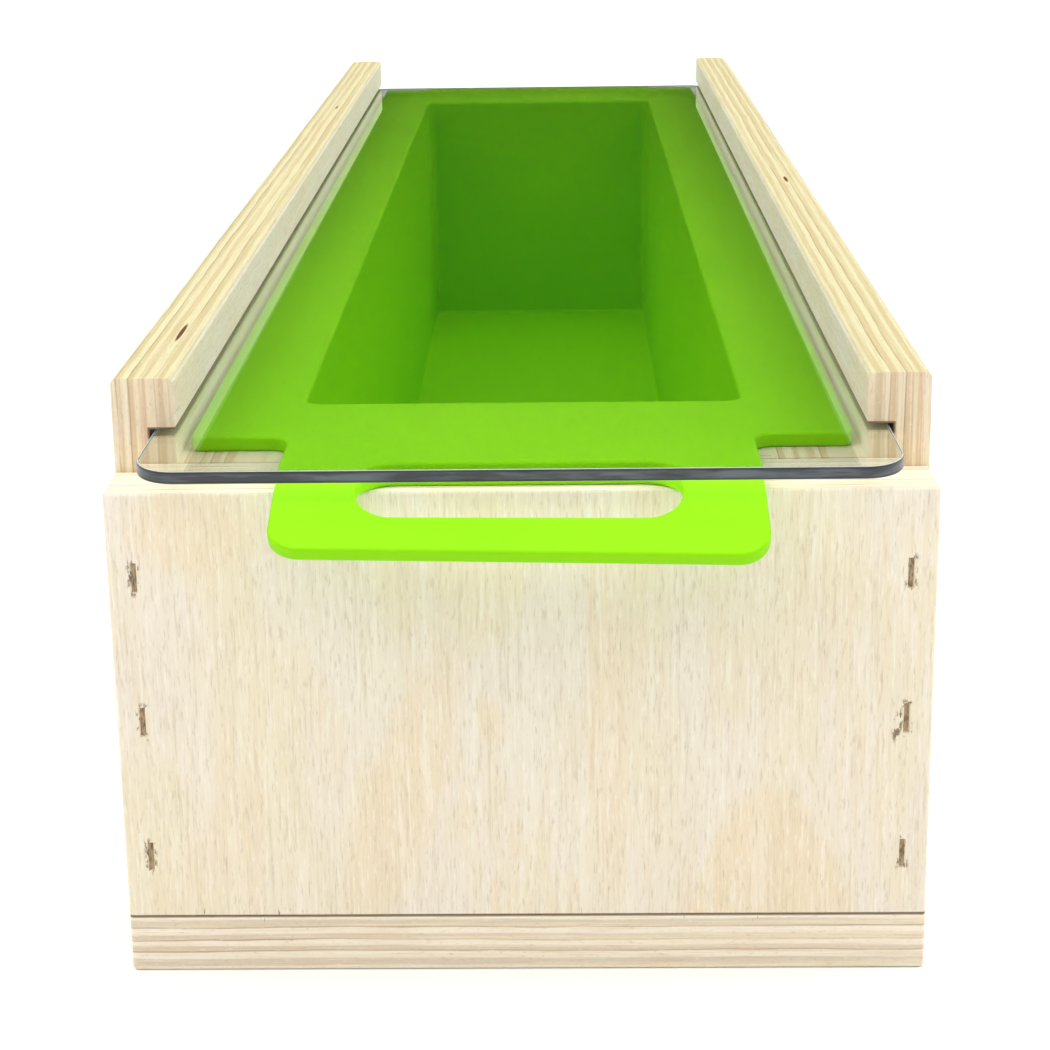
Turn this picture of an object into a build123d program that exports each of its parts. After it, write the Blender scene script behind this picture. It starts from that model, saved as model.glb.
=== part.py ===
from build123d import *

import os
from math import cos, radians, sin, tan

# Soap loaf mould: a stapled plywood box, a moulded silicone liner that hangs in it by a wide flange,
# and a clear acrylic lid that slides in a groove along each side wall.
# Millimetres. X runs across the box, Y along it with the front at -Y, and Z is up.
# The origin is the centre of the base plate's underside.

# Box
OUTER_PLY = 12.0  # base plate, end panels and side walls
SIDE_SUPPORT_PLY = 18.0  # boards under the flange, along the side walls
END_SUPPORT_PLY = 24.0  # boards under the flange, behind the end panels
BOX_WIDTH = 156.0
WALL_LENGTH = 458.0
PANEL_TOP = 100.0  # height of the end panels and of the boards that carry the flange
WALL_TOP = 118.5
EDGE_ROUND = 0.8  # sanded edges of the boards
JOINT_EASE = 0.35  # rounding of the edges that meet along a joint on the outside
WALL_TOP_ROUND = 1.2
WALL_REAR_ROUND = 4.0  # outer corner of a wall's rear end
WALL_REAR_EASE = 1.5  # inner corner of a wall's rear end, above the groove

# Lid and the grooves it slides in
LID_SHEET = 2.4
LID_WIDTH = 140.6
LID_LENGTH = 474.0
LID_OVERHANG = 10.6  # how far the closed lid stands out past the front panel
LID_CORNER = 8.0
LID_EDGE_ROUND = 0.25
LID_LIFT = 0.1  # running gap under the lid
GROOVE_FLOOR = 105.3
GROOVE_HEIGHT = 3.2
GROOVE_DEPTH = 5.0
GROOVE_LIP_ROUND = 0.3

# Silicone liner
SILICONE = 3.0  # flange, walls, floor and tabs
CAVITY_WIDTH = 89.4
CAVITY_LENGTH = 403.4
CAVITY_CORNER = 3.5
CAVITY_DRAFT = 1.36  # degrees
FLOOR_ROUND = 1.2
RIM_ROUND = 1.0
FLANGE_WIDTH = 129.0
FLANGE_FRONT = 223.0  # from the middle of the box
FLANGE_REAR = 236.0  # reaches over the rear panel
FLANGE_CORNER = 2.0
TAB_WIDTH = 90.0
TAB_ROOT_ROUND = 4.0  # hollow corner between the tab and the flange
TAB_BEND_RADIUS = 18.5  # underside, where the tab droops over the panel's edge
TAB_DROOP = 24.0  # degrees
TAB_STRAIGHT = 12.75  # from the end of the bend to the tip
TAB_CORNER = 6.0
SLOT_LENGTH = 60.0
SLOT_WIDTH = 14.5
SLOT_BEHIND_FACE = 2.2  # how far the slot starts behind the panel's face

# Staples
STAPLE_CROWN = 5.7
STAPLE_LEG = 22.0
WIRE_WIDTH = 1.0
WIRE_DEPTH = 1.0
STAPLE_SINK = 0.4  # depth of the crown under the wood's surface
POCKET_LENGTH = 6.1
POCKET_WIDTH = 1.25
PANEL_STAPLE_HEIGHTS = (25.0, 53.5, 83.0)
PANEL_STAPLE_X = 73.0
BASE_STAPLE_ROWS = 6  # staples up into each side wall
BASE_STAPLE_PITCH = 76.0
BASE_END_STAPLE_X = 38.0  # staples up into each end panel, either side of the middle

# Worked out from the dimensions above
HALF_WIDTH = BOX_WIDTH / 2
WALL_END = WALL_LENGTH / 2
FACE = WALL_END + OUTER_PLY  # outer face of an end panel
WALL_INNER = HALF_WIDTH - OUTER_PLY
WALL_MIDDLE = HALF_WIDTH - OUTER_PLY / 2
SUPPORT_INNER = WALL_INNER - SIDE_SUPPORT_PLY
FLANGE_TOP = PANEL_TOP + SILICONE
CAVITY_FLOOR = OUTER_PLY + SILICONE
LID_BOTTOM = GROOVE_FLOOR + LID_LIFT
SIDES = {"left": -1, "right": 1}
ENDS = {"front": -1, "rear": 1}


def block(x_range, y_range, z_range):
    """A box between low and high values along each axis."""
    low, high = (Vector(*corner) for corner in zip(sorted(x_range), sorted(y_range), sorted(z_range)))
    return Location((low + high) / 2) * Box(*(high - low))


def edges_at(solid, axis, value, direction=None):
    """The edges lying at one value along an axis, or only those of them parallel to a direction."""
    edges = solid.edges().filter_by_position(axis, value - 0.01, value + 0.01)
    return edges.filter_by(direction) if direction else edges


def staple(x, y, z, crown, outward):
    """A staple and the pocket that its crown leaves; the crown's line and the face's normal are axes."""
    place = Plane(origin=(x, y, z), x_dir=crown, z_dir=outward).location
    half_crown, half_wire, half_pocket = STAPLE_CROWN / 2, WIRE_WIDTH / 2, POCKET_LENGTH / 2
    across = (-half_wire, half_wire)
    wire = block((-half_crown, half_crown), across, (-STAPLE_SINK - WIRE_DEPTH, -STAPLE_SINK))
    for side in (-1, 1):
        leg = (side * half_crown, side * (half_crown - WIRE_DEPTH))
        wire += block(leg, across, (-STAPLE_SINK - STAPLE_LEG, -STAPLE_SINK))
    pocket = block(
        (-half_pocket, half_pocket), (-POCKET_WIDTH / 2, POCKET_WIDTH / 2), (-STAPLE_SINK, 1.0)
    )
    return place * wire, place * pocket


def make_staples():
    """Every group of staples, as lists of (staple, pocket) pairs by node name."""
    groups = {}
    for end, y_sign in ENDS.items():
        for side, x_sign in SIDES.items():
            groups[f"{end}_{side}_staples"] = [
                staple(x_sign * PANEL_STAPLE_X, y_sign * FACE, z, (0, 0, 1), (0, y_sign, 0))
                for z in PANEL_STAPLE_HEIGHTS
            ]
        groups[f"base_{end}_staples"] = [
            staple(x, y_sign * (FACE - OUTER_PLY / 2), 0, (1, 0, 0), (0, 0, -1))
            for x in (-BASE_END_STAPLE_X, BASE_END_STAPLE_X)
        ]
    first_row = -BASE_STAPLE_PITCH * (BASE_STAPLE_ROWS - 1) / 2
    for side, x_sign in SIDES.items():
        groups[f"base_{side}_staples"] = [
            staple(x_sign * WALL_MIDDLE, first_row + row * BASE_STAPLE_PITCH, 0, (0, 1, 0), (0, 0, -1))
            for row in range(BASE_STAPLE_ROWS)
        ]
    return groups


def make_base_plate():
    plate = block((-HALF_WIDTH, HALF_WIDTH), (-FACE, FACE), (0, OUTER_PLY))
    plate = fillet(plate.edges().filter_by(Axis.Z), EDGE_ROUND)
    plate = fillet(edges_at(plate, Axis.Z, 0), EDGE_ROUND)
    return fillet(edges_at(plate, Axis.Z, OUTER_PLY), JOINT_EASE)


def make_end_panel(y_sign):
    panel = block((-HALF_WIDTH, HALF_WIDTH), (y_sign * WALL_END, y_sign * FACE), (OUTER_PLY, PANEL_TOP))
    panel = fillet(edges_at(panel, Axis.Y, y_sign * FACE, Axis.Z), EDGE_ROUND)
    panel = fillet(edges_at(panel, Axis.Z, PANEL_TOP), EDGE_ROUND)
    return fillet(edges_at(panel, Axis.Z, OUTER_PLY), JOINT_EASE)


def make_side_wall(x_sign):
    """A wall with the lid's groove run along its inner face, open at both ends."""
    groove_top = GROOVE_FLOOR + GROOVE_HEIGHT
    groove_root = WALL_INNER + GROOVE_DEPTH
    outline = [
        (WALL_INNER, OUTER_PLY),
        (HALF_WIDTH, OUTER_PLY),
        (HALF_WIDTH, WALL_TOP),
        (WALL_INNER, WALL_TOP),
        (WALL_INNER, groove_top),
        (groove_root, groove_top),
        (groove_root, GROOVE_FLOOR),
        (WALL_INNER, GROOVE_FLOOR),
    ]
    section = make_face(Polyline(*[(x, 0, z) for x, z in outline], close=True))
    wall = Location((0, -WALL_END, 0)) * Solid.extrude(section.face(), Vector(0, WALL_LENGTH, 0))
    rear_lip = ShapeList(
        edge
        for edge in edges_at(wall, Axis.Y, WALL_END, Axis.Z)
        if abs(edge.center().X - WALL_INNER) < 0.01 and edge.center().Z > groove_top
    )
    wall = fillet(rear_lip, WALL_REAR_EASE)
    rear_corner = ShapeList(
        edge for edge in edges_at(wall, Axis.Y, WALL_END, Axis.Z) if abs(edge.center().X - HALF_WIDTH) < 0.01
    )
    wall = fillet(rear_corner, WALL_REAR_ROUND)
    wall = fillet(edges_at(wall, Axis.Z, WALL_TOP, Axis.Y), WALL_TOP_ROUND)
    lips = ShapeList(
        edge
        for edge in edges_at(wall, Axis.X, WALL_INNER, Axis.Y)
        if GROOVE_FLOOR - 0.01 < edge.center().Z < groove_top + 0.01
    )
    wall = fillet(lips, GROOVE_LIP_ROUND)
    foot = edges_at(wall, Axis.Z, OUTER_PLY, Axis.Y).filter_by_position(
        Axis.X, HALF_WIDTH - 0.01, HALF_WIDTH + 0.01
    )
    wall = fillet(foot, JOINT_EASE)
    return wall if x_sign > 0 else mirror(wall, about=Plane.YZ)


def make_side_support(x_sign):
    return block(
        (x_sign * SUPPORT_INNER, x_sign * WALL_INNER), (-WALL_END, WALL_END), (OUTER_PLY, PANEL_TOP)
    )


def make_end_support(y_sign):
    inner_face = WALL_END - END_SUPPORT_PLY
    return block(
        (-SUPPORT_INNER, SUPPORT_INNER), (y_sign * inner_face, y_sign * WALL_END), (OUTER_PLY, PANEL_TOP)
    )


def tapered_trough(width, length, corner, depth):
    """A rounded rectangle drawn down from the top of the flange, narrowing by the draft."""
    mouth = Location((0, 0, FLANGE_TOP)) * RectangleRounded(width, length, corner)
    return extrude(mouth, amount=-depth, taper=CAVITY_DRAFT)


def make_flange():
    """The flat rim, with the strips that run out over the end panels."""
    rim = Location((0, (FLANGE_REAR - FLANGE_FRONT) / 2)) * Rectangle(FLANGE_WIDTH, FLANGE_FRONT + FLANGE_REAR)
    rim = fillet(rim.vertices(), FLANGE_CORNER)
    outline = rim + Rectangle(TAB_WIDTH, 2 * FACE)
    roots = ShapeList(
        corner
        for corner in outline.vertices()
        if abs(abs(corner.X) - TAB_WIDTH / 2) < 0.01 and FLANGE_FRONT - 0.01 < abs(corner.Y) < FLANGE_REAR + 0.01
    )
    outline = fillet(roots, TAB_ROOT_ROUND)
    return extrude(Location((0, 0, PANEL_TOP)) * outline, amount=SILICONE)


def make_front_tab():
    """The drooping part of the front tab, from the panel's face to the tip."""
    inner, outer = TAB_BEND_RADIUS, TAB_BEND_RADIUS + SILICONE
    bend_centre = Vector(0, -FACE, PANEL_TOP - inner)
    droop = radians(TAB_DROOP)

    def on_bend(radius, angle):
        return bend_centre + Vector(0, -radius * sin(angle), radius * cos(angle))

    outward = Vector(0, -cos(droop), -sin(droop)) * TAB_STRAIGHT
    under_start, under_end = on_bend(inner, 0), on_bend(inner, droop)
    top_start, top_end = on_bend(outer, 0), on_bend(outer, droop)
    section = make_face(
        [
            ThreePointArc(under_start, on_bend(inner, droop / 2), under_end),
            Line(under_end, under_end + outward),
            Line(under_end + outward, top_end + outward),
            Line(top_end + outward, top_end),
            ThreePointArc(top_end, on_bend(outer, droop / 2), top_start),
            Line(top_start, under_start),
        ]
    )
    tab = Location((-TAB_WIDTH / 2, 0, 0)) * Solid.extrude(section.face(), Vector(TAB_WIDTH, 0, 0))
    tip = (under_end + outward + top_end + outward) / 2
    tip_corners = ShapeList(
        edge
        for edge in tab.edges()
        if abs(abs(edge.center().X) - TAB_WIDTH / 2) < 0.01 and (edge.center() - tip).Y < 0.01
    )
    return fillet(tip_corners, TAB_CORNER)


def slot_cutter():
    """The finger slot's shape, square to the front tab half way along its bend."""
    half_droop = radians(TAB_DROOP / 2)
    from_face = SLOT_WIDTH / 2 - SLOT_BEHIND_FACE
    middle = Vector(0, -FACE - from_face, PANEL_TOP + SILICONE / 2 - from_face * tan(half_droop / 2))
    plane = Plane(origin=middle, x_dir=(1, 0, 0), z_dir=(0, -sin(half_droop), cos(half_droop)))
    return extrude(plane * SlotOverall(SLOT_LENGTH, SLOT_WIDTH), amount=3 * SILICONE, both=True)


def make_liner():
    outer_trough = tapered_trough(
        CAVITY_WIDTH + 2 * SILICONE, CAVITY_LENGTH + 2 * SILICONE, CAVITY_CORNER + SILICONE,
        FLANGE_TOP - OUTER_PLY,
    )
    cavity = tapered_trough(CAVITY_WIDTH, CAVITY_LENGTH, CAVITY_CORNER, FLANGE_TOP - CAVITY_FLOOR)
    front_tab = make_front_tab()
    liner = make_flange() + outer_trough + front_tab + mirror(front_tab, about=Plane.XZ)
    liner -= cavity
    liner -= [slot_cutter(), mirror(slot_cutter(), about=Plane.XZ)]
    half_mouth = (CAVITY_WIDTH / 2, CAVITY_LENGTH / 2)
    mouth = ShapeList(
        edge
        for edge in edges_at(liner, Axis.Z, FLANGE_TOP)
        if abs(edge.center().X) < half_mouth[0] + 0.01 and abs(edge.center().Y) < half_mouth[1] + 0.01
    )
    liner = fillet(mouth, RIM_ROUND)
    return fillet(edges_at(liner, Axis.Z, CAVITY_FLOOR), FLOOR_ROUND)


def make_lid():
    sheet = extrude(RectangleRounded(LID_WIDTH, LID_LENGTH, LID_CORNER), amount=LID_SHEET)
    sheet = fillet(sheet.faces().sort_by(Axis.Z)[-1].edges(), LID_EDGE_ROUND)
    sheet = fillet(sheet.faces().sort_by(Axis.Z)[0].edges(), LID_EDGE_ROUND)
    return Location((0, LID_LENGTH / 2 - FACE - LID_OVERHANG, LID_BOTTOM)) * sheet


def main():
    nodes = {"base_plate": make_base_plate(), "silicone_liner": make_liner(), "acrylic_lid": make_lid()}
    for side, x_sign in SIDES.items():
        nodes[f"{side}_wall"] = make_side_wall(x_sign)
        nodes[f"{side}_support_board"] = make_side_support(x_sign)
    for end, y_sign in ENDS.items():
        nodes[f"{end}_panel"] = make_end_panel(y_sign)
        nodes[f"{end}_support_board"] = make_end_support(y_sign)

    # Each staple is driven through an outer board into the board behind it.
    staples = make_staples()
    driven_into = {}
    for end in ENDS:
        for side in SIDES:
            driven_into[f"{end}_{side}_staples"] = (f"{end}_panel", f"{side}_wall")
        driven_into[f"base_{end}_staples"] = ("base_plate", f"{end}_panel")
    for side in SIDES:
        driven_into[f"base_{side}_staples"] = ("base_plate", f"{side}_wall")
    for group, (outer_board, inner_board) in driven_into.items():
        wires = [wire for wire, pocket in staples[group]]
        nodes[outer_board] -= wires + [pocket for wire, pocket in staples[group]]
        nodes[inner_board] -= wires
        nodes[group] = Compound(children=[wire.solid() for wire in wires])

    os.makedirs("parts", exist_ok=True)
    for name, shape in nodes.items():
        export_step(shape, f"parts/{name}.step")


main()
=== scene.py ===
import math
import random

import bmesh
import bpy
from mathutils import Euler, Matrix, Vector
from mathutils.geometry import tessellate_polygon


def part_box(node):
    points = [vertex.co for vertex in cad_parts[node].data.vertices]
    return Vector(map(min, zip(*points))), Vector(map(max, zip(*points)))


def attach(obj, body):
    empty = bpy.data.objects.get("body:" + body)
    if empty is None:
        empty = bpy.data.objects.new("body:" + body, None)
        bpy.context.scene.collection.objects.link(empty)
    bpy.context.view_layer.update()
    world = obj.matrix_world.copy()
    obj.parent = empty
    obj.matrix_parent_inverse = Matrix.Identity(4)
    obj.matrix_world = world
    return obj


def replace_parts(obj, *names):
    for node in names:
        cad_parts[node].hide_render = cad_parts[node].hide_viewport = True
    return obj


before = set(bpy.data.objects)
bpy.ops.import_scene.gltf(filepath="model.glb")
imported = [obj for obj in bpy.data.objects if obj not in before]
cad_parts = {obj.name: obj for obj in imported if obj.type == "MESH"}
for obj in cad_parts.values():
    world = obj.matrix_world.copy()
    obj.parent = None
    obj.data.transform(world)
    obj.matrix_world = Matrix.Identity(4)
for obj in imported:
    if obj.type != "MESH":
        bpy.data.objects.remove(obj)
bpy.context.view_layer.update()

# A plywood soap loaf mould with a lime silicone liner and a clear sliding lid.
# Blender works in metres; the measures here are in millimetres and pass through MM.
MM = 0.001


def span(node):
    """A node's lowest and highest corner at rest, in millimetres."""
    low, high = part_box(node)
    return Vector(low) / MM, Vector(high) / MM


# ---------------------------------------------------------------- sizes read from the frame

base_low, base_high = span("base_plate")
panel_low, panel_high = span("front_panel")
lid_low, lid_high = span("acrylic_lid")
liner_low, liner_high = span("silicone_liner")
wall_low, wall_high = span("right_wall")
support_low, support_high = span("right_support_board")

FACE = base_high.y  # outer face of an end panel, from the middle of the box
PANEL_TOP = panel_high.z
FLANGE_TOP = liner_high.z
SHEET = FLANGE_TOP - PANEL_TOP  # thickness of the silicone
PLY = wall_high.x - wall_low.x
CAVITY_FLOOR = liner_low.z + SHEET

# Shape of the liner and the lid
SUPPORT_GAP = 0.3  # between the trough and the boards beside it
CAVITY_HALF = Vector((support_low.x - SHEET - SUPPORT_GAP, 201.7))
CAVITY_CORNER = 3.5
CAVITY_DRAFT = math.tan(math.radians(1.36))
FLANGE_HALF_WIDTH = liner_high.x
FLANGE_FRONT = 223.0  # from the middle of the box
FLANGE_REAR = 236.0
FLANGE_CORNER = 2.0
TAB_HALF = 45.0
TAB_ROOT_ROUND = 4.0
TAB_BEND = 20.0  # radius at the middle of the sheet
TAB_DROOP = math.radians(24.0)
TAB_LENGTH = TAB_BEND * TAB_DROOP + 12.75
TAB_CORNER = 6.0
SLOT_HALF = Vector((30.0, 7.25))
SLOT_MIDDLE = FACE + 5.05
LID_CORNER = 8.0
LID_HEADROOM = 0.7
GROOVE_TOP = lid_high.z + LID_HEADROOM
GROOVE_DEPTH = 5.0
STAPLE_X = 73.0
STAPLE_HEIGHTS = (25.0, 53.5, 83.0)


# ---------------------------------------------------------------- shader graphs

class Graph:
    """Short calls for building a node material."""

    def __init__(self, name):
        self.material = bpy.data.materials.new(name)
        self.material.use_nodes = True
        self.tree = self.material.node_tree
        self.tree.nodes.clear()
        self.output = self.add("ShaderNodeOutputMaterial")

    def add(self, kind, **settings):
        node = self.tree.nodes.new(kind)
        for key, value in settings.items():
            setattr(node, key, value)
        return node

    def put(self, socket, value):
        if isinstance(value, bpy.types.NodeSocket):
            self.tree.links.new(value, socket)
        elif value is not None:
            socket.default_value = value

    def math(self, operation, a, b=None):
        node = self.add("ShaderNodeMath", operation=operation)
        for socket, value in zip(node.inputs, (a, b)):
            self.put(socket, value)
        return node.outputs[0]

    def position(self):
        """The point being shaded, in millimetres in the row frame."""
        coordinate = self.add("ShaderNodeTexCoord")
        scaled = self.add("ShaderNodeVectorMath", operation="SCALE")
        self.put(scaled.inputs[0], coordinate.outputs["Object"])
        scaled.inputs["Scale"].default_value = 1 / MM
        return scaled.outputs[0]

    def split(self, vector):
        node = self.add("ShaderNodeSeparateXYZ")
        self.put(node.inputs[0], vector)
        return node.outputs

    def stretched(self, vector, scale, shift=(0, 0, 0)):
        """The vector scaled along each axis, then moved."""
        node = self.add("ShaderNodeVectorMath", operation="MULTIPLY_ADD")
        self.put(node.inputs[0], vector)
        node.inputs[1].default_value = scale
        node.inputs[2].default_value = shift
        return node.outputs[0]

    def noise(self, vector, detail=3.0, roughness=0.5, distortion=0.0):
        node = self.add("ShaderNodeTexNoise")
        self.put(node.inputs["Vector"], vector)
        node.inputs["Scale"].default_value = 1.0
        node.inputs["Detail"].default_value = detail
        node.inputs["Roughness"].default_value = roughness
        node.inputs["Distortion"].default_value = distortion
        return node.outputs[0]

    def range(self, value, low, high, to_low=0.0, to_high=1.0):
        """The value eased from one result to another as it goes from low to high."""
        node = self.add("ShaderNodeMapRange", interpolation_type="SMOOTHSTEP")
        for socket, given in zip(node.inputs, (value, low, high, to_low, to_high)):
            self.put(socket, given)
        return node.outputs[0]

    def mix(self, factor, a, b, blend="MIX"):
        node = self.add("ShaderNodeMix", data_type="RGBA", blend_type=blend)
        self.put(node.inputs["Factor"], factor)
        self.put(node.inputs["A"], a)
        self.put(node.inputs["B"], b)
        return node.outputs["Result"]

    def mix_value(self, factor, a, b):
        node = self.add("ShaderNodeMix", data_type="FLOAT")
        self.put(node.inputs["Factor"], factor)
        self.put(node.inputs["A"], a)
        self.put(node.inputs["B"], b)
        return node.outputs["Result"]

    def ramp(self, factor, stops):
        node = self.add("ShaderNodeValToRGB")
        self.put(node.inputs[0], factor)
        ramp = node.color_ramp
        while len(ramp.elements) < len(stops):
            ramp.elements.new(1.0)
        for element, (place, colour) in zip(ramp.elements, stops):
            element.position = place
            element.color = colour
        return node.outputs["Color"]

    def bump(self, height, distance, strength):
        node = self.add("ShaderNodeBump")
        node.inputs["Strength"].default_value = strength
        node.inputs["Distance"].default_value = distance
        self.put(node.inputs["Height"], height)
        return node.outputs[0]

    def surface(self, colour, roughness, normal=None, **constants):
        shader = self.add("ShaderNodeBsdfPrincipled")
        self.put(shader.inputs["Base Color"], colour)
        self.put(shader.inputs["Roughness"], roughness)
        if normal is not None:
            self.put(shader.inputs["Normal"], normal)
        for key, value in constants.items():
            shader.inputs[key.replace("_", " ")].default_value = value
        return shader.outputs[0]

    def finish(self, shader):
        self.put(self.output.inputs["Surface"], shader)
        return self.material


def colour(red, green, blue):
    """A colour from display values of 0 to 255, as the shader's linear values."""
    def linear(value):
        value /= 255
        return value / 12.92 if value <= 0.04045 else ((value + 0.055) / 1.055) ** 2.4
    return (linear(red), linear(green), linear(blue), 1.0)


# ---------------------------------------------------------------- plywood

PLIES = 9
# The colours that a board's veneers run between, pale ones first and then the darker ones.
WARM_EDGE = ((247, 234, 206), (248, 229, 198)), ((226, 203, 166), (232, 202, 168))
COOL_EDGE = ((247, 238, 222), (250, 239, 222)), ((222, 209, 188), (227, 209, 188))
PALE_EDGE = ((252, 244, 226), (253, 242, 220)), ((246, 232, 208), (248, 234, 210))
GLUE = colour(182, 152, 118)
BEIGE, STRAW, PEACH = colour(240, 230, 214), colour(240, 228, 200), colour(240, 222, 192)
PALE_FLECK, DARK_FLECK, PORE = colour(250, 243, 228), colour(218, 203, 178), colour(178, 152, 118)
# A dark brown for torn veneer round the staples and for the darkened seam, also laid on as painted shade in
# the lid's groove; the strength below is for the staples and the groove.
DIRT_AND_SHADE, KNOT = colour(112, 84, 58), colour(120, 74, 40)
DIRT_AND_SHADE_STRENGTH = 0.85
# Marks on a sawn edge: broad stains and fading, then fine lines and specks, dark and pale.
EDGE_STAIN, EDGE_FADED, EDGE_DEEP = colour(235, 215, 186), colour(246, 230, 200), colour(222, 198, 162)
EDGE_DARK_LINE, EDGE_PALE_LINE = colour(212, 184, 146), colour(253, 243, 222)
EDGE_DARK_SPECK, EDGE_PALE_SPECK = colour(194, 168, 136), colour(255, 248, 230)
YELLOWED_AND_SHADED = (0.73, 0.79, 0.66, 1.0)  # what the tops of the walls are multiplied by: partly a yellower tone, partly painted shade that darkens them under the overhead light


def axis_vector(values):
    """Three numbers given by axis, such as {"x": 1}, as a vector; axes left out are 0."""
    return tuple(values.get(axis, 0.0) for axis in "xyz")


def veneer_stops(seed, palette):
    """Colour stops through a board's thickness: pale and dark veneers by turns, some with a glue line."""
    rng = random.Random(seed)
    widths = [rng.uniform(0.65, 1.35) for ply in range(PLIES)]
    total = sum(widths)
    stops, start = [], 0.0
    for ply, width in enumerate(widths):
        first, second = palette[ply % 2]
        blend = rng.random()
        tone = colour(*(a + (b - a) * blend for a, b in zip(first, second)))
        end = start + width / total
        stops += [(start + 0.018, tone), (end - 0.018, tone)]
        if ply % 2 == 0 and ply < PLIES - 1 and rng.random() < 0.6:
            stops.append((end, GLUE))
        start = end
    return stops


def oval(centre, reach, lean=0.0):
    """A patch of figure on a face, given in mm across and along the grain, and how it leans."""
    def mask(graph, across, along):
        rise = graph.math("SUBTRACT", along, centre[1])
        aside = graph.math("SUBTRACT", across, centre[0])
        aside = graph.math("SUBTRACT", aside, graph.math("MULTIPLY", rise, lean))
        u = graph.math("DIVIDE", aside, reach[0])
        v = graph.math("DIVIDE", rise, reach[1])
        square = graph.math("ADD", graph.math("MULTIPLY", u, u), graph.math("MULTIPLY", v, v))
        return graph.range(square, 1.5, 0.35)
    return mask


def arch(apex, opening):
    """The pointed arch of a flat-cut growth ring, opening towards the lower end of the grain."""
    def mask(graph, across, along):
        u = graph.math("DIVIDE", graph.math("SUBTRACT", across, apex[0]), opening)
        depth = graph.math("SUBTRACT", graph.math("SUBTRACT", apex[1], along), graph.math("MULTIPLY", u, u))
        return graph.range(depth, -1.5, 3.5)
    return mask


def veneer_face(graph, point, grain, sheet, seed, figure):
    """Colour and height of a rotary-cut face veneer with its grain along one axis."""
    cross = next(axis for axis in "xyz" if axis not in (grain, sheet))
    shift = (seed * 37.0, seed * 53.0, seed * 71.0)

    def grained(across_scale, along_scale, **settings):
        scale = axis_vector({cross: across_scale, grain: along_scale, sheet: along_scale})
        return graph.noise(graph.stretched(point, scale, shift), **settings)

    fibre = grained(1.7, 0.06, detail=5.0, roughness=0.7)
    flecks = grained(2.0, 0.30, detail=2.0, roughness=0.6)
    pores = grained(2.4, 0.20, detail=1.0)
    tint = grained(0.05, 0.018, detail=3.0, roughness=0.6, distortion=0.5)
    warmth = grained(0.035, 0.012, detail=4.0, roughness=0.6, distortion=0.4)
    streaks = grained(0.30, 0.025, detail=3.0, roughness=0.6)

    base = graph.mix(graph.range(tint, 0.38, 0.62), BEIGE, STRAW)
    base = graph.mix(graph.range(warmth, 0.54, 0.66, 0.0, 0.55), base, PEACH)
    ragged = graph.math("MULTIPLY", graph.math("SUBTRACT", fibre, 0.5), 9.0)
    parts = graph.split(point)
    across = graph.math("ADD", parts["xyz".index(cross)], ragged)
    along = graph.math("ADD", parts["xyz".index(grain)], graph.math("MULTIPLY", ragged, 1.6))
    for mask, strength in figure:
        base = graph.mix(graph.math("MULTIPLY", mask(graph, across, along), strength), base, PEACH)
    base = graph.mix(graph.range(streaks, 0.52, 0.66, 0.0, 0.35), base, PEACH)
    base = graph.mix(graph.range(streaks, 0.48, 0.34, 0.0, 0.35), base, PALE_FLECK)
    base = graph.mix(graph.range(fibre, 0.52, 0.70, 0.0, 0.6), base, DARK_FLECK)
    base = graph.mix(graph.range(fibre, 0.48, 0.32, 0.0, 0.65), base, PALE_FLECK)
    base = graph.mix(graph.range(flecks, 0.57, 0.70, 0.0, 0.6), base, DARK_FLECK)
    base = graph.mix(graph.range(flecks, 0.42, 0.30, 0.0, 0.6), base, PALE_FLECK)
    base = graph.mix(graph.range(pores, 0.73, 0.79, 0.0, 0.4), base, PORE)
    height = graph.math("SUBTRACT", fibre, graph.math("MULTIPLY", graph.range(pores, 0.66, 0.74), 0.8))
    return base, height


def ply_edge(graph, point, sheet, low, seed, palette):
    """Colour and height of a sawn plywood edge, whose veneers are stacked along the sheet's axis."""
    others = [axis for axis in "xyz" if axis != sheet]
    shift = (seed * 19.0, seed * 29.0, seed * 43.0)

    def layered(through, along, **settings):
        scale = axis_vector({sheet: through, **{axis: along for axis in others}})
        return graph.noise(graph.stretched(point, scale, shift), **settings)

    drift = layered(0.0, 0.022, detail=3.0, roughness=0.6)
    waver = layered(0.5, 0.07, detail=2.0)
    depth = graph.split(point)["xyz".index(sheet)]
    depth = graph.math("ADD", depth, graph.math("MULTIPLY", graph.math("SUBTRACT", drift, 0.5), 1.0))
    depth = graph.math("ADD", depth, graph.math("MULTIPLY", graph.math("SUBTRACT", waver, 0.5), 0.7))
    share = graph.math("DIVIDE", graph.math("SUBTRACT", depth, low), PLY)
    layers = graph.ramp(share, veneer_stops(seed, palette))
    lines = layered(3.2, 0.05, detail=4.0, roughness=0.65)
    blotches = layered(0.35, 0.05, detail=4.0, roughness=0.7)
    specks = layered(2.0, 0.7, detail=3.0, roughness=0.7)
    fading = layered(0.8, 0.009, detail=3.0, roughness=0.6)
    base = graph.mix(graph.range(blotches, 0.45, 0.68, 0.0, 0.4), layers, EDGE_STAIN)
    base = graph.mix(graph.range(fading, 0.48, 0.64, 0.0, 0.6), base, EDGE_FADED)
    base = graph.mix(graph.range(fading, 0.44, 0.32, 0.0, 0.5), base, EDGE_DEEP)
    base = graph.mix(graph.range(lines, 0.52, 0.70, 0.0, 0.5), base, EDGE_DARK_LINE)
    base = graph.mix(graph.range(lines, 0.46, 0.30, 0.0, 0.5), base, EDGE_PALE_LINE)
    base = graph.mix(graph.range(specks, 0.57, 0.74, 0.0, 0.4), base, EDGE_DARK_SPECK)
    base = graph.mix(graph.range(specks, 0.42, 0.28, 0.0, 0.4), base, EDGE_PALE_SPECK)
    height = graph.math("ADD", lines, graph.math("MULTIPLY", specks, 0.8))
    return base, height


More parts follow.
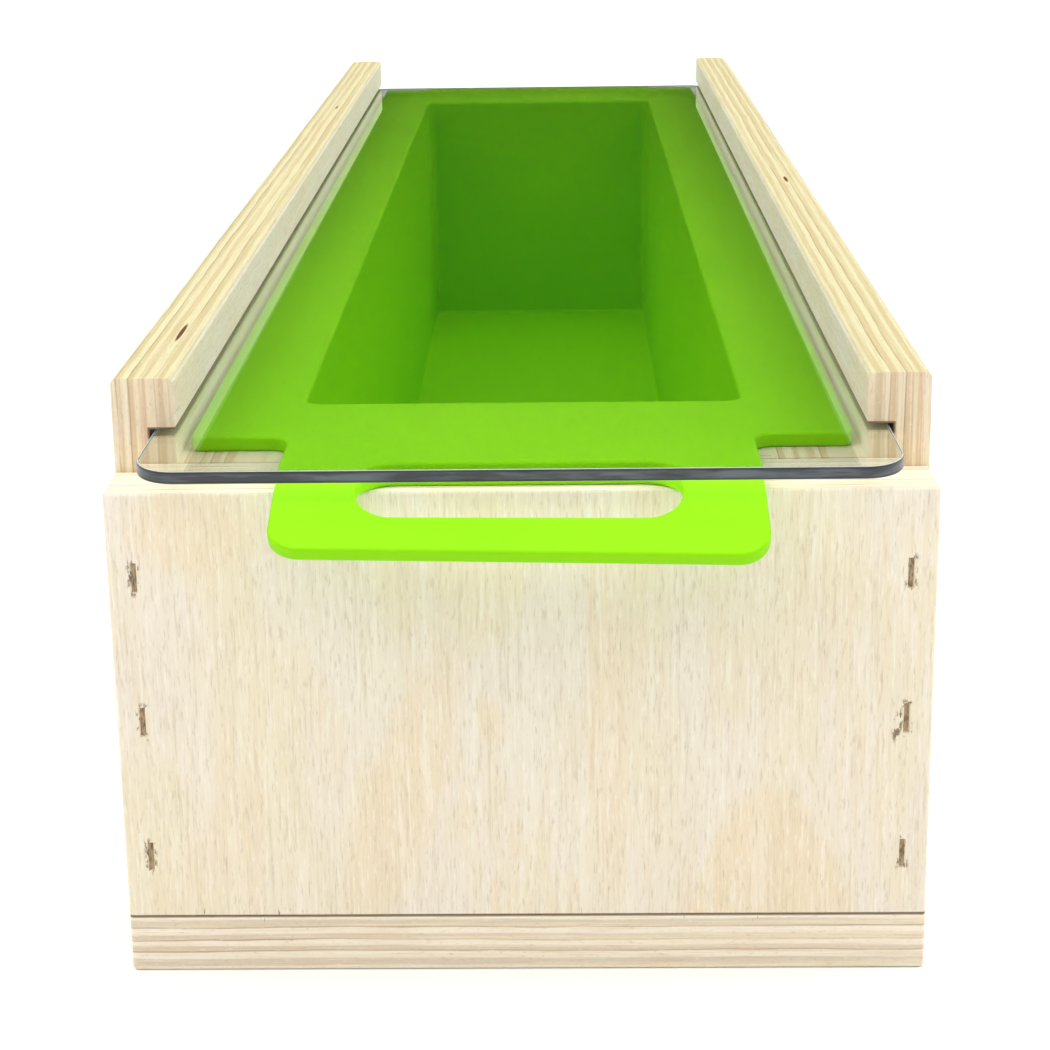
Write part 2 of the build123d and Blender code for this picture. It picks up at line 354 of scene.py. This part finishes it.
def darkened_seam(graph, point, base, level):
    """Darkens the joint that runs round the box at one height, with torn fibres beside it."""
    height = graph.math("ABSOLUTE", graph.math("SUBTRACT", graph.split(point)[2], level))
    torn = graph.noise(graph.stretched(point, (0.55, 0.55, 0.12)), detail=3.0, roughness=0.7)
    base = graph.mix(graph.range(height, 0.42, 0.2, 0.0, 0.75), base, DIRT_AND_SHADE)
    near = graph.math("MULTIPLY", graph.range(height, 2.2, 0.4), graph.range(torn, 0.64, 0.70))
    return graph.mix(graph.math("MULTIPLY", near, 0.75), base, DIRT_AND_SHADE)


def groove_painted_shade(graph, point, base):
    """Darkens the roof and the root of the lid's groove, and the lip above the lid, with painted shade."""
    x, _, z = graph.split(point)
    in_groove = graph.math("SUBTRACT", graph.math("ABSOLUTE", x), wall_low.x)
    below_roof = graph.math("SUBTRACT", GROOVE_TOP, z)
    at_roof = graph.range(graph.math("ABSOLUTE", below_roof), 0.45, 0.25)
    roof = graph.math("MULTIPLY", at_roof, graph.range(in_groove, GROOVE_DEPTH + 0.5, GROOVE_DEPTH + 0.2))
    from_root = graph.math("ABSOLUTE", graph.math("SUBTRACT", in_groove, GROOVE_DEPTH))
    root = graph.math("MULTIPLY", graph.range(from_root, 0.5, 0.2), graph.range(below_roof, 2.6, 1.6))
    root = graph.math("MULTIPLY", root, graph.range(below_roof, -0.4, -0.1))
    darkening = graph.math("MULTIPLY", graph.math("MAXIMUM", roof, root), DIRT_AND_SHADE_STRENGTH)
    return graph.mix(darkening, base, DIRT_AND_SHADE)


def staple_scars(graph, point, base):
    """Torn veneer round the staples of an end panel, worst beside one that went in askew."""
    x, _, z = graph.split(point)
    torn = graph.noise(graph.stretched(point, (1.5, 1.5, 0.55)), detail=2.0, roughness=0.6)
    rises = [graph.math("ABSOLUTE", graph.math("SUBTRACT", z, height)) for height in STAPLE_HEIGHTS]
    rise = rises[0]
    for other in rises[1:]:
        rise = graph.math("MINIMUM", rise, other)
    aside = graph.math("ABSOLUTE", graph.math("SUBTRACT", graph.math("ABSOLUTE", x), STAPLE_X))
    scar = graph.math("MULTIPLY", graph.range(aside, 1.5, 0.7), graph.range(rise, 4.4, 3.0))
    scar = graph.math("MULTIPLY", scar, graph.range(torn, 0.55, 0.60))
    askew = oval((STAPLE_X - 1.7, STAPLE_HEIGHTS[1] - 1.5), (0.9, 3.4), 0.15)(graph, x, z)
    askew = graph.math("MULTIPLY", askew, graph.range(torn, 0.48, 0.53))
    darkening = graph.math("MULTIPLY", graph.math("MAXIMUM", scar, askew), DIRT_AND_SHADE_STRENGTH)
    return graph.mix(darkening, base, DIRT_AND_SHADE)


def plywood(name, sheet, grain, low, seed, palette=WARM_EDGE, knots=(), figure=()):
    """Plywood whose sheet lies square to one axis, with its outer veneers' grain along another."""
    graph = Graph(name)
    point = graph.position()
    face_colour, face_height = veneer_face(graph, point, grain, sheet, seed, figure)
    edge_colour, edge_height = ply_edge(graph, point, sheet, low, seed, palette)
    for place, size in knots:
        offset = graph.add("ShaderNodeVectorMath", operation="SUBTRACT")
        graph.put(offset.inputs[0], point)
        offset.inputs[1].default_value = place
        distance = graph.add("ShaderNodeVectorMath", operation="LENGTH")
        graph.put(distance.inputs[0], graph.stretched(offset.outputs[0], tuple(1 / s for s in size)))
        inside = graph.range(distance.outputs["Value"], 1.0, 0.6)
        edge_colour = graph.mix(inside, edge_colour, KNOT)
    normal = graph.add("ShaderNodeTexCoord").outputs["Normal"]
    facing = graph.math("ABSOLUTE", graph.split(normal)["xyz".index(sheet)])
    is_face = graph.range(facing, 0.55, 0.75)
    base = graph.mix(is_face, edge_colour, face_colour)
    base = darkened_seam(graph, point, base, PLY)
    if sheet == "y":
        base = staple_scars(graph, point, base)
    if name.endswith("_wall"):
        base = groove_painted_shade(graph, point, base)
        # Painted shade with a yellower tone: faces of a wall that point up are darkened and yellowed.
        upward = graph.range(graph.split(normal)[2], 0.5, 0.8)
        base = graph.mix(upward, base, YELLOWED_AND_SHADED, "MULTIPLY")
    height = graph.mix_value(is_face, edge_height, face_height)
    bump = graph.bump(height, 0.15 * MM, 0.6)
    return graph.finish(graph.surface(base, 0.62, bump, Specular_IOR_Level=0.25))


def paint(node, material):
    """Gives a CAD node this material in place of its own."""
    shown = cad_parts[node]
    for slot in shown.material_slots:
        slot.link = "OBJECT"
        slot.material = material


# ---------------------------------------------------------------- silicone, acrylic and wire

def silicone_material():
    graph = Graph("lime_silicone")
    point = graph.position()
    clouds = graph.noise(graph.stretched(point, (0.02, 0.02, 0.02)), detail=2.0)
    grain = graph.noise(graph.stretched(point, (1.6, 1.6, 1.6)), detail=3.0, roughness=0.6)
    base = graph.mix(clouds, colour(136, 214, 1), colour(150, 224, 3))
    roughness = graph.range(grain, 0.3, 0.7, 0.42, 0.52)
    bump = graph.bump(grain, 0.02 * MM, 0.35)
    return graph.finish(graph.surface(
        base, roughness, bump, Subsurface_Weight=0.25, Subsurface_Radius=(0.6, 1.0, 0.1),
        Subsurface_Scale=2.0 * MM, Specular_IOR_Level=0.12,
    ))


def acrylic_material():
    graph = Graph("clear_acrylic")
    haze = graph.noise(graph.stretched(graph.position(), (0.05, 0.05, 0.05)), detail=2.0)
    roughness = graph.range(haze, 0.4, 0.7, 0.0, 0.02)
    glass = graph.surface((0.80, 0.84, 0.80, 1.0), roughness, Transmission_Weight=1.0, IOR=1.49)
    clear = graph.add("ShaderNodeBsdfTransparent")
    clear.inputs[0].default_value = (0.96, 0.98, 0.97, 1.0)
    path = graph.add("ShaderNodeLightPath")
    mixed = graph.add("ShaderNodeMixShader")
    graph.put(mixed.inputs[0], path.outputs["Is Shadow Ray"])
    graph.put(mixed.inputs[1], glass)
    graph.put(mixed.inputs[2], clear.outputs[0])
    return graph.finish(mixed.outputs[0])


def acrylic_edge_material():
    """The sheet's polished edge, painted dark as it looks from outside: painted shade, darkest along its
    top and bottom, with paler patches of painted reflection.
    """
    graph = Graph("acrylic_edge")
    point = graph.position()
    patches = graph.noise(graph.stretched(point, (0.06, 0.06, 0.4)), detail=3.0, roughness=0.6)
    height = graph.split(point)[2]
    middle = (lid_low.z + lid_high.z) / 2
    from_middle = graph.math("ABSOLUTE", graph.math("SUBTRACT", height, middle))
    # Painted reflection in paler patches, then painted shade along the top and bottom of the edge.
    tone = graph.mix(graph.range(patches, 0.40, 0.62), colour(62, 68, 74), colour(112, 120, 130))
    tone = graph.mix(graph.range(from_middle, 0.45, 1.0, 0.0, 0.85), tone, colour(34, 36, 38))
    return graph.finish(graph.surface(tone, 0.28, Transmission_Weight=0.3, IOR=1.49))


def acrylic_bevel_material():
    """The broken corners of the sheet's edge, rough and near white: a painted highlight for the light they
    catch.
    """
    graph = Graph("acrylic_bevel")
    scratches = graph.noise(graph.stretched(graph.position(), (0.8, 0.8, 0.8)), detail=3.0, roughness=0.7)
    roughness = graph.range(scratches, 0.3, 0.7, 0.3, 0.5)
    # Painted highlight: the near-white colour.
    return graph.finish(graph.surface(colour(236, 242, 238), roughness, Transmission_Weight=0.5, IOR=1.49))


def wire_material():
    graph = Graph("staple_wire")
    tarnish = graph.noise(graph.stretched(graph.position(), (1.5, 1.5, 0.5)), detail=4.0, roughness=0.65)
    base = graph.mix(graph.range(tarnish, 0.4, 0.65), colour(176, 154, 122), colour(112, 90, 62))
    return graph.finish(graph.surface(base, graph.range(tarnish, 0.3, 0.7, 0.35, 0.6), Metallic=0.35))


# ---------------------------------------------------------------- outlines

ARC_STEPS = 10


def arc(centre, radius, start, end):
    """Points round an arc between two angles in degrees, both ends included."""
    angles = [math.radians(start + (end - start) * step / ARC_STEPS) for step in range(ARC_STEPS + 1)]
    return [Vector((centre[0] + radius * math.cos(a), centre[1] + radius * math.sin(a))) for a in angles]


def rounded_rectangle(half, corner, inset=0.0, middle=(0.0, 0.0)):
    """A closed outline, anticlockwise, drawn in by the inset."""
    width, length = half[0] - inset, half[1] - inset
    radius = max(corner - inset, 0.02)
    points = []
    for turn, (x_sign, y_sign) in enumerate(((1, 1), (-1, 1), (-1, -1), (1, -1))):
        centre = (middle[0] + x_sign * (width - radius), middle[1] + y_sign * (length - radius))
        points += arc(centre, radius, 90 * turn, 90 * turn + 90)
    return points


def flange_outline(inset=0.0):
    """The rim and both tabs laid flat, anticlockwise, drawn in by the inset."""
    tip = FACE + TAB_LENGTH - inset
    tab, flange_x = TAB_HALF - inset, FLANGE_HALF_WIDTH - inset
    tip_round, flange_round, root = TAB_CORNER - inset, FLANGE_CORNER - inset, TAB_ROOT_ROUND + inset

    def end(reach):
        """One end of the outline, from its right side to its left, with the flange this long."""
        flange_y = reach - inset
        right = arc((flange_x - flange_round, flange_y - flange_round), flange_round, 0, 90)
        right += arc((tab + root, flange_y + root), root, 270, 180)
        right += arc((tab - tip_round, tip - tip_round), tip_round, 0, 90)
        return right + [Vector((-p.x, p.y)) for p in reversed(right)]

    return end(FLANGE_REAR) + [Vector((-p.x, -p.y)) for p in end(FLANGE_FRONT)]


# ---------------------------------------------------------------- meshes from rings

def ring(bm, outline, z):
    return [bm.verts.new((p.x * MM, p.y * MM, z * MM)) for p in outline]


def join_rings(bm, rings):
    """A band of quads between each ring and the next, all with the same number of points."""
    for first, second in zip(rings, rings[1:]):
        count = len(first)
        for index in range(count):
            after = (index + 1) % count
            bm.faces.new((first[index], first[after], second[after], second[index]))


def fill(bm, loops, up):
    """Fills the flat space inside the first loop and outside the others."""
    flat = [vert for loop in loops for vert in loop]
    triangles = tessellate_polygon([[vert.co for vert in loop] for loop in loops])
    for triangle in triangles:
        corners = [flat[index] for index in triangle]
        a, b, c = (vert.co for vert in corners)
        if ((b - a).cross(c - a).z > 0) != up:
            corners.reverse()
        bm.faces.new(corners)


EDGE_STEPS = 4


def edge_profile(low, high, radius):
    """(inset, z) pairs round a sheet's edge from its underside to its top."""
    quarter = [math.pi / 2 * step / EDGE_STEPS for step in range(EDGE_STEPS + 1)]
    lower = [(radius * (1 - math.sin(a)), low + radius * (1 - math.cos(a))) for a in quarter]
    upper = [(radius * (1 - math.cos(a)), high - radius * (1 - math.sin(a))) for a in quarter]
    return lower + upper


def new_piece(name, bm, material, body, smooth_angle=35.0):
    bmesh.ops.recalc_face_normals(bm, faces=bm.faces)
    mesh = bpy.data.meshes.new(name)
    bm.to_mesh(mesh)
    bm.free()
    mesh.materials.append(material)
    mesh.shade_smooth()
    mesh.set_sharp_from_angle(angle=math.radians(smooth_angle))
    piece = bpy.data.objects.new(name, mesh)
    bpy.context.scene.collection.objects.link(piece)
    # Lets the large flat faces keep their true normals beside the small rounded ones.
    shading = piece.modifiers.new("shading", "WEIGHTED_NORMAL")
    shading.keep_sharp = True
    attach(piece, body)
    return piece


# ---------------------------------------------------------------- liner

SHEET_ROUND = 0.6
RIM_ROUND = 1.0
FLOOR_ROUND = 1.2
WALL_STEPS = 8  # rings down the cavity's wall
BEND_SLICE = 1.4
TAB_TWIST = 0.021  # how far the front tab's right side hangs lower, per mm from its middle


def droop_tabs(bm):
    """Bends the flat tabs down over the end panels' edges and gives the front one a slight twist."""
    bend_length = TAB_BEND * TAB_DROOP
    for vert in bm.verts:
        x, y, z = vert.co / MM
        beyond = abs(y) - FACE
        if beyond <= 0:
            continue
        side = 1 if y > 0 else -1
        height = z - PANEL_TOP - SHEET / 2
        angle = min(beyond / TAB_BEND, TAB_DROOP)
        straight = max(beyond - bend_length, 0.0)
        out = (TAB_BEND + height) * math.sin(angle) + straight * math.cos(angle)
        drop = TAB_BEND - (TAB_BEND + height) * math.cos(angle) + straight * math.sin(angle)
        twist = TAB_TWIST * x * (beyond / TAB_LENGTH) ** 1.5 if side < 0 else 0.0
        vert.co = Vector((x, side * (FACE + out), PANEL_TOP + SHEET / 2 - drop - twist)) * MM


def make_liner():
    bm = bmesh.new()
    edge = edge_profile(PANEL_TOP, FLANGE_TOP, SHEET_ROUND)
    rim_rings = [ring(bm, flange_outline(inset), z) for inset, z in edge]
    join_rings(bm, rim_rings)

    slots = []
    for side in (-1, 1):
        middle = (0.0, side * SLOT_MIDDLE)
        rings = [
            ring(bm, rounded_rectangle(SLOT_HALF, SLOT_HALF.y - 0.05, -inset, middle), z)
            for inset, z in edge
        ]
        join_rings(bm, rings)
        slots.append(rings)

    # The cavity: round the rim, down the drafted wall and round into the floor.
    inside = []
    for step in range(EDGE_STEPS + 1):
        a = math.pi / 2 * step / EDGE_STEPS
        inside.append((-RIM_ROUND * (1 - math.sin(a)), FLANGE_TOP - RIM_ROUND * (1 - math.cos(a))))
    floor_bend = CAVITY_FLOOR + FLOOR_ROUND
    for step in range(1, WALL_STEPS + 1):
        z = FLANGE_TOP - RIM_ROUND + (floor_bend - FLANGE_TOP + RIM_ROUND) * step / WALL_STEPS
        inside.append(((FLANGE_TOP - z) * CAVITY_DRAFT, z))
    wall_inset = inside[-1][0]
    for step in range(1, EDGE_STEPS + 1):
        a = math.pi / 2 * step / EDGE_STEPS
        inset = wall_inset + FLOOR_ROUND * (1 - math.cos(a))
        inside.append((inset, floor_bend - FLOOR_ROUND * math.sin(a)))
    cavity_rings = [
        ring(bm, rounded_rectangle(CAVITY_HALF, CAVITY_CORNER, inset), z) for inset, z in inside
    ]
    join_rings(bm, cavity_rings)
    fill(bm, [cavity_rings[-1]], up=True)

    outer_half = (CAVITY_HALF.x + SHEET, CAVITY_HALF.y + SHEET)
    outside = [(0.0, PANEL_TOP), ((PANEL_TOP - liner_low.z) * CAVITY_DRAFT, liner_low.z)]
    trough_rings = [
        ring(bm, rounded_rectangle(outer_half, CAVITY_CORNER + SHEET, inset), z) for inset, z in outside
    ]
    join_rings(bm, trough_rings)
    fill(bm, [trough_rings[-1]], up=False)

    fill(bm, [rim_rings[-1], cavity_rings[0], slots[0][-1], slots[1][-1]], up=True)
    fill(bm, [rim_rings[0], trough_rings[0], slots[0][0], slots[1][0]], up=False)

    slices = int(TAB_LENGTH / BEND_SLICE) + 1
    for side in (-1, 1):
        for step in range(slices):
            bmesh.ops.bisect_plane(
                bm, geom=bm.verts[:] + bm.edges[:] + bm.faces[:], dist=1e-7,
                plane_co=(0, side * (FACE + step * BEND_SLICE) * MM, 0), plane_no=(0, 1, 0),
            )
    droop_tabs(bm)
    piece = new_piece("liner", bm, silicone_material(), "box")
    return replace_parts(piece, "silicone_liner")


# ---------------------------------------------------------------- lid

LID_ROUND = 0.3
# A face of the lid is edge, bevel or flat by the upright part of its normal.
EDGE_BELOW = 0.6
FLAT_ABOVE = 0.999
GLASS_SLOT, EDGE_SLOT, BEVEL_SLOT = 0, 1, 2
LID_SMOOTH_ANGLE = 20.0


def make_lid():
    bm = bmesh.new()
    half = ((lid_high.x - lid_low.x) / 2, (lid_high.y - lid_low.y) / 2)
    middle = (0.0, (lid_high.y + lid_low.y) / 2)
    rings = [
        ring(bm, rounded_rectangle(half, LID_CORNER, inset, middle), z)
        for inset, z in edge_profile(lid_low.z, lid_high.z, LID_ROUND)
    ]
    join_rings(bm, rings)
    fill(bm, [rings[-1]], up=True)
    fill(bm, [rings[0]], up=False)
    piece = new_piece("lid", bm, acrylic_material(), "lid", LID_SMOOTH_ANGLE)
    piece.data.materials.append(acrylic_edge_material())
    piece.data.materials.append(acrylic_bevel_material())
    for face in piece.data.polygons:
        upright = abs(face.normal.z)
        if upright < EDGE_BELOW:
            face.material_index = EDGE_SLOT
        elif upright < FLAT_ABOVE:
            face.material_index = BEVEL_SLOT
        else:
            face.material_index = GLASS_SLOT
    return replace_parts(piece, "acrylic_lid")


# ---------------------------------------------------------------- boards and staples

FRONT_FIGURE = [
    (oval((-62.0, 93.0), (13.0, 9.0)), 0.8),
    (oval((-23.0, 38.0), (7.5, 32.0), 0.28), 0.75),
    (oval((-6.5, 53.0), (2.6, 5.5), -0.25), 0.8),
    (oval((16.0, 58.0), (3.5, 42.0), -0.03), 0.6),
    (oval((62.0, 60.0), (3.0, 26.0), -0.05), 0.4),
    (arch((47.5, 40.0), 3.1), 0.95),
]
REAR_FIGURE = [
    (arch((-20.0, 74.0), 4.4), 0.8),
    (oval((40.0, 60.0), (6.0, 34.0), 0.15), 0.6),
    (oval((-64.0, 40.0), (5.0, 22.0), -0.1), 0.5),
]


def paint_boards():
    paint("base_plate", plywood("ply_base", "z", "y", base_low.z, 1, COOL_EDGE))
    paint("front_panel", plywood("ply_front", "y", "z", panel_low.y, 2, PALE_EDGE, figure=FRONT_FIGURE))
    paint("rear_panel", plywood("ply_rear", "y", "z", FACE - PLY, 3, figure=REAR_FIGURE))
    paint("left_wall", plywood("ply_left_wall", "x", "y", -wall_high.x, 4, knots=[
        ((-wall_high.x + 7.6, -196.0, wall_high.z), (0.6, 8.0, 3.0)),
        ((-wall_high.x + 7.0, 104.0, wall_high.z), (0.4, 4.0, 3.0)),
    ]))
    paint("right_wall", plywood("ply_right_wall", "x", "y", wall_low.x, 5, knots=[
        ((wall_low.x + 6.5, -38.0, wall_high.z), (0.6, 5.0, 3.0)),
    ]))
    paint("left_support_board", plywood("ply_left_support", "x", "y", -support_high.x, 6))
    paint("right_support_board", plywood("ply_right_support", "x", "y", support_low.x, 7))
    paint("front_support_board", plywood("ply_front_support", "y", "z", -FACE + PLY, 8, PALE_EDGE))
    paint("rear_support_board", plywood("ply_rear_support", "y", "z", FACE - 3 * PLY, 9))


def paint_staples():
    wire = wire_material()
    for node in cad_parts:
        if node.endswith("_staples"):
            paint(node, wire)


# ---------------------------------------------------------------- stage, light and camera

# Places and sizes here are in metres.
FLOOR_REACH = 8.0
LIGHT_TARGET = (0, 0, 0.06)
LIGHT_SIZE = 1.2
KEY_PLACE, KEY_POWER = (-1.5, -0.65, 1.4), 12.5
FILL_PLACE, FILL_POWER = (1.6, -0.25, 1.2), 14.0
# A fade in the sky: the upward part of a direction where it starts and ends, and its strength there.
OVERHEAD = (0.36, 0.80, 0.01, 1.78)
HORIZON = (0.05, 0.09, 0.5, 0.0)
CAMERA_PLACE = (0.00757, -0.5814, 0.22484)
CAMERA_PITCH, CAMERA_YAW, CAMERA_ROLL = 0.2294, -0.0176, -0.014  # radians
CAMERA_LENS = 66.5  # mm, on a sensor 36 mm wide
# The photo wants a shift of about -0.52, which would push the box out of the other views.
CAMERA_SHIFT = -0.26


def make_floor():
    graph = Graph("pale_floor")
    tone = graph.noise(graph.stretched(graph.position(), (0.002, 0.002, 0.002)), detail=2.0)
    base = graph.mix(tone, (0.90, 0.90, 0.90, 1), (0.92, 0.92, 0.92, 1))
    material = graph.finish(graph.surface(base, 0.8, Specular_IOR_Level=0.1))
    mesh = bpy.data.meshes.new("floor")
    corners = [(x * FLOOR_REACH, y * FLOOR_REACH, 0) for x, y in ((-1, -1), (1, -1), (1, 1), (-1, 1))]
    mesh.from_pydata(corners, [], [(0, 1, 2, 3)])
    mesh.materials.append(material)
    floor = bpy.data.objects.new("floor", mesh)
    bpy.context.scene.collection.objects.link(floor)


def area_light(name, place, power):
    data = bpy.data.lights.new(name, "AREA")
    data.shape = "SQUARE"
    data.size = LIGHT_SIZE
    data.energy = power
    light = bpy.data.objects.new(name, data)
    light.location = place
    light.rotation_euler = (Vector(LIGHT_TARGET) - Vector(place)).to_track_quat("-Z", "Y").to_euler()
    light.visible_glossy = False  # keeps a hard white square out of the lid
    bpy.context.scene.collection.objects.link(light)


def studio_world():
    """A soft overhead light and a pale horizon, dark between, so that the lid stays clear seen from above.

    The camera itself sees plain white.
    """
    world = bpy.data.worlds.new("studio")
    world.use_nodes = True
    nodes, links = world.node_tree.nodes, world.node_tree.links
    nodes.clear()
    direction = nodes.new("ShaderNodeTexCoord")
    parts = nodes.new("ShaderNodeSeparateXYZ")
    overhead, horizon = nodes.new("ShaderNodeMapRange"), nodes.new("ShaderNodeMapRange")
    for fade, limits in ((overhead, OVERHEAD), (horizon, HORIZON)):
        fade.interpolation_type = "SMOOTHSTEP"
        for socket, value in zip(fade.inputs[1:], limits):
            socket.default_value = value
        links.new(parts.outputs["Z"], fade.inputs["Value"])
    strength = nodes.new("ShaderNodeMath")
    strength.operation = "ADD"
    links.new(overhead.outputs[0], strength.inputs[0])
    links.new(horizon.outputs[0], strength.inputs[1])
    sky, backdrop = nodes.new("ShaderNodeBackground"), nodes.new("ShaderNodeBackground")
    sky.inputs["Color"].default_value = (1.0, 0.99, 0.97, 1.0)
    path, mixed = nodes.new("ShaderNodeLightPath"), nodes.new("ShaderNodeMixShader")
    output = nodes.new("ShaderNodeOutputWorld")
    links.new(direction.outputs["Generated"], parts.inputs[0])
    links.new(strength.outputs[0], sky.inputs["Strength"])
    links.new(path.outputs["Is Camera Ray"], mixed.inputs[0])
    links.new(sky.outputs[0], mixed.inputs[1])
    links.new(backdrop.outputs[0], mixed.inputs[2])
    backdrop.inputs["Color"].default_value = (1.0, 1.0, 1.0, 1.0)
    links.new(mixed.outputs[0], output.inputs["Surface"])
    bpy.context.scene.world = world


def light_the_scene():
    studio_world()
    area_light("key", KEY_PLACE, KEY_POWER)
    area_light("fill", FILL_PLACE, FILL_POWER)


def make_camera():
    data = bpy.data.cameras.new("camera")
    data.sensor_width = 36.0
    data.lens = CAMERA_LENS
    data.shift_y = CAMERA_SHIFT
    data.clip_start = 0.02
    camera = bpy.data.objects.new("camera", data)
    camera.location = CAMERA_PLACE
    camera.rotation_euler = Euler((math.pi / 2 - CAMERA_PITCH, 0.0, -CAMERA_YAW), "XYZ")
    camera.rotation_euler.rotate_axis("Z", CAMERA_ROLL)
    bpy.context.scene.collection.objects.link(camera)
    bpy.context.scene.camera = camera


make_camera()
make_floor()
light_the_scene()
bpy.context.scene.view_settings.view_transform = "Standard"
paint_boards()
paint_staples()
make_liner()
make_lid()
